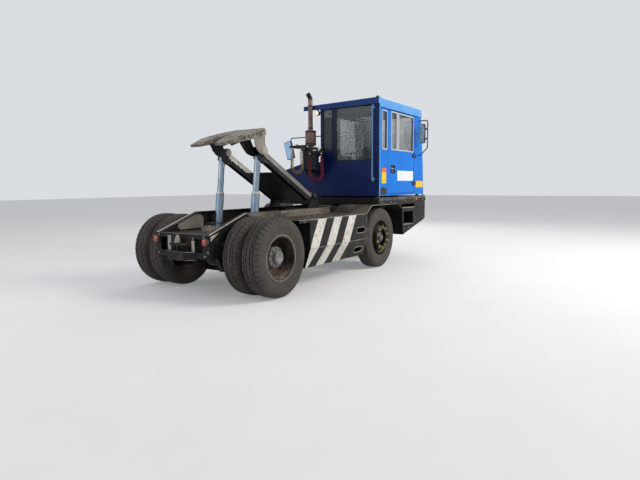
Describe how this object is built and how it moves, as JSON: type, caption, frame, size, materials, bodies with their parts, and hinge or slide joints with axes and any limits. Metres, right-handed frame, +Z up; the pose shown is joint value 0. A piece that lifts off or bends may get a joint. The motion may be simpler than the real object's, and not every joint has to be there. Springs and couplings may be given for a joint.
{
  "type": "terminal tractor",
  "caption": "Terminal tractor with a narrow offset cab, twin rear wheels and a lifting boom that carries a tilting fifth wheel",
  "frame": {"origin": "on the ground under the middle of the bounding box", "axes": "X forward along the tractor, Y to its left, Z up"},
  "size_m": [5.93, 2.82, 3.3244],
  "materials": {
    "blue": "gloss paint",
    "light_blue": "gloss paint",
    "navy": "worn paint",
    "black_paint": "worn satin paint",
    "frame_paint": "dusty satin paint",
    "worn_steel": "dusty worn steel",
    "chrome": "polished rod",
    "stage_steel": "ground steel",
    "tyre": "dusty rubber",
    "rim": "rusty paint",
    "glass": "clear glass",
    "dark_plastic": "matte plastic",
    "seat": "dark cloth",
    "lamp_red": "lamp lens",
    "lamp_clear": "lamp lens",
    "hose_red": "smooth hose",
    "hose_yellow": "smooth hose",
    "exhaust_steel": "heat-stained steel"
  },
  "bodies": {
    "chassis": {"frame_rails": "worn_steel", "cross_members": "frame_paint", "tail_plate": "frame_paint", "tail_lamps": "lamp_red", "rear_axle": "frame_paint", "front_axle": "frame_paint", "front_springs": "frame_paint", "deck_plates": "black_paint", "side_panels": "black_paint", "side_tanks": "black_paint", "base_frame": "black_paint", "step_boxes": "black_paint", "front_bumper": "black_paint", "headlamps": "lamp_clear", "cab_floor": "black_paint", "cab_rear_wall": "navy", "cab_right_wall": "blue", "cab_left_wall": "navy", "cab_front_wall": "blue", "cab_glass": "glass", "cab_roof": "light_blue", "seat_pedestal": "dark_plastic", "seat_cushion": "seat", "seat_back": "seat", "dashboard": "dark_plastic", "grab_rail": "navy", "mirror_right": "dark_plastic", "mirror_left": "dark_plastic", "engine_block": "frame_paint", "hood": "navy", "grille": "black_paint", "exhaust": "exhaust_steel", "air_cleaner": "frame_paint", "work_lamp": "lamp_clear", "pivot_brackets": "frame_paint", "hose_red": "hose_red", "hose_yellow": "hose_yellow", "hose_rack": "frame_paint"},
    "door": {"cab_door": "blue", "door_glass": "glass"},
    "boom": {"boom": "worn_steel"},
    "fifth_wheel": {"fifth_wheel_plate": "worn_steel", "fifth_wheel_legs": "worn_steel"},
    "barrel_left": {"lift_barrel_left": "frame_paint"},
    "barrel_right": {"lift_barrel_right": "frame_paint"},
    "stage_left": {"lift_stage_left": "stage_steel"},
    "stage_right": {"lift_stage_right": "stage_steel"},
    "rod_left": {"lift_rod_left": "chrome"},
    "rod_right": {"lift_rod_right": "chrome"},
    "knuckle_left": {"knuckle_left": "frame_paint"},
    "knuckle_right": {"knuckle_right": "frame_paint"},
    "wheel_front_left": {"tyre_front_left": "tyre", "rim_front_left": "rim"},
    "wheel_front_right": {"tyre_front_right": "tyre", "rim_front_right": "rim"},
    "wheels_rear_left": {"tyres_rear_left": "tyre", "rims_rear_left": "rim"},
    "wheels_rear_right": {"tyres_rear_right": "tyre", "rims_rear_right": "rim"}
  },
  "joints": [
    {"name": "rear_left_spin", "type": "hinge", "parent": "chassis", "child": "wheels_rear_left", "pos_m": [-2.175, 0.9365, 0.555], "axis": [0, 1, 0], "continuous": true},
    {"name": "rear_right_spin", "type": "hinge", "parent": "chassis", "child": "wheels_rear_right", "pos_m": [-2.175, -0.9365, 0.555], "axis": [0, 1, 0], "continuous": true},
    {"name": "steer_left", "type": "hinge", "parent": "chassis", "child": "knuckle_left", "pos_m": [0.855, 0.88, 0.555], "axis": [0, 0, 1], "range_deg": [-32, 32]},
    {"name": "steer_right", "type": "hinge", "parent": "chassis", "child": "knuckle_right", "pos_m": [0.855, -0.88, 0.555], "axis": [0, 0, 1], "range_deg": [-32, 32]},
    {"name": "front_left_spin", "type": "hinge", "parent": "knuckle_left", "child": "wheel_front_left", "pos_m": [0.855, 1.065, 0.555], "axis": [0, 1, 0], "continuous": true},
    {"name": "front_right_spin", "type": "hinge", "parent": "knuckle_right", "child": "wheel_front_right", "pos_m": [0.855, -1.065, 0.555], "axis": [0, 1, 0], "continuous": true},
    {"name": "door_hinge", "type": "hinge", "parent": "chassis", "child": "door", "pos_m": [2.328, -1.211, 2.1], "axis": [0, 0, 1], "range_deg": [0, 75]},
    {"name": "boom_lift", "type": "hinge", "parent": "chassis", "child": "boom", "pos_m": [-0.255, 0, 1.34], "axis": [0, -1, 0], "range_deg": [0, 32]},
    {"name": "fifth_wheel_tilt", "type": "hinge", "parent": "boom", "child": "fifth_wheel", "pos_m": [-1.575, 0, 2.06], "axis": [0, 1, 0], "range_deg": [-5, 50]},
    {"name": "barrel_left_tilt", "type": "hinge", "parent": "chassis", "child": "barrel_left", "pos_m": [-1.835, 0.375, 0.34], "axis": [0, -1, 0], "range_deg": [-1, 6]},
    {"name": "stage_left_slide", "type": "slide", "parent": "barrel_left", "child": "stage_left", "axis": [0.1158, 0, 0.9933], "range_m": [-0.405, 0]},
    {"name": "rod_left_slide", "type": "slide", "parent": "stage_left", "child": "rod_left", "axis": [0.1158, 0, 0.9933], "range_m": [-0.445, 0]},
    {"name": "barrel_right_tilt", "type": "hinge", "parent": "chassis", "child": "barrel_right", "pos_m": [-1.835, -0.375, 0.34], "axis": [0, -1, 0], "range_deg": [-1, 6]},
    {"name": "stage_right_slide", "type": "slide", "parent": "barrel_right", "child": "stage_right", "axis": [0.1158, 0, 0.9933], "range_m": [-0.405, 0]},
    {"name": "rod_right_slide", "type": "slide", "parent": "stage_right", "child": "rod_right", "axis": [0.1158, 0, 0.9933], "range_m": [-0.445, 0]}
  ],
  "couplings": [
    {"joint": "steer_right", "follows": "steer_left", "ratio": 1},
    {"joint": "barrel_left_tilt", "follows": "boom_lift", "ratio": 0.125},
    {"joint": "stage_left_slide", "follows": "boom_lift", "m_per_rad": -0.716},
    {"joint": "rod_left_slide", "follows": "boom_lift", "m_per_rad": -0.789},
    {"joint": "barrel_right_tilt", "follows": "boom_lift", "ratio": 0.125},
    {"joint": "stage_right_slide", "follows": "boom_lift", "m_per_rad": -0.716},
    {"joint": "rod_right_slide", "follows": "boom_lift", "m_per_rad": -0.789}
  ]
}
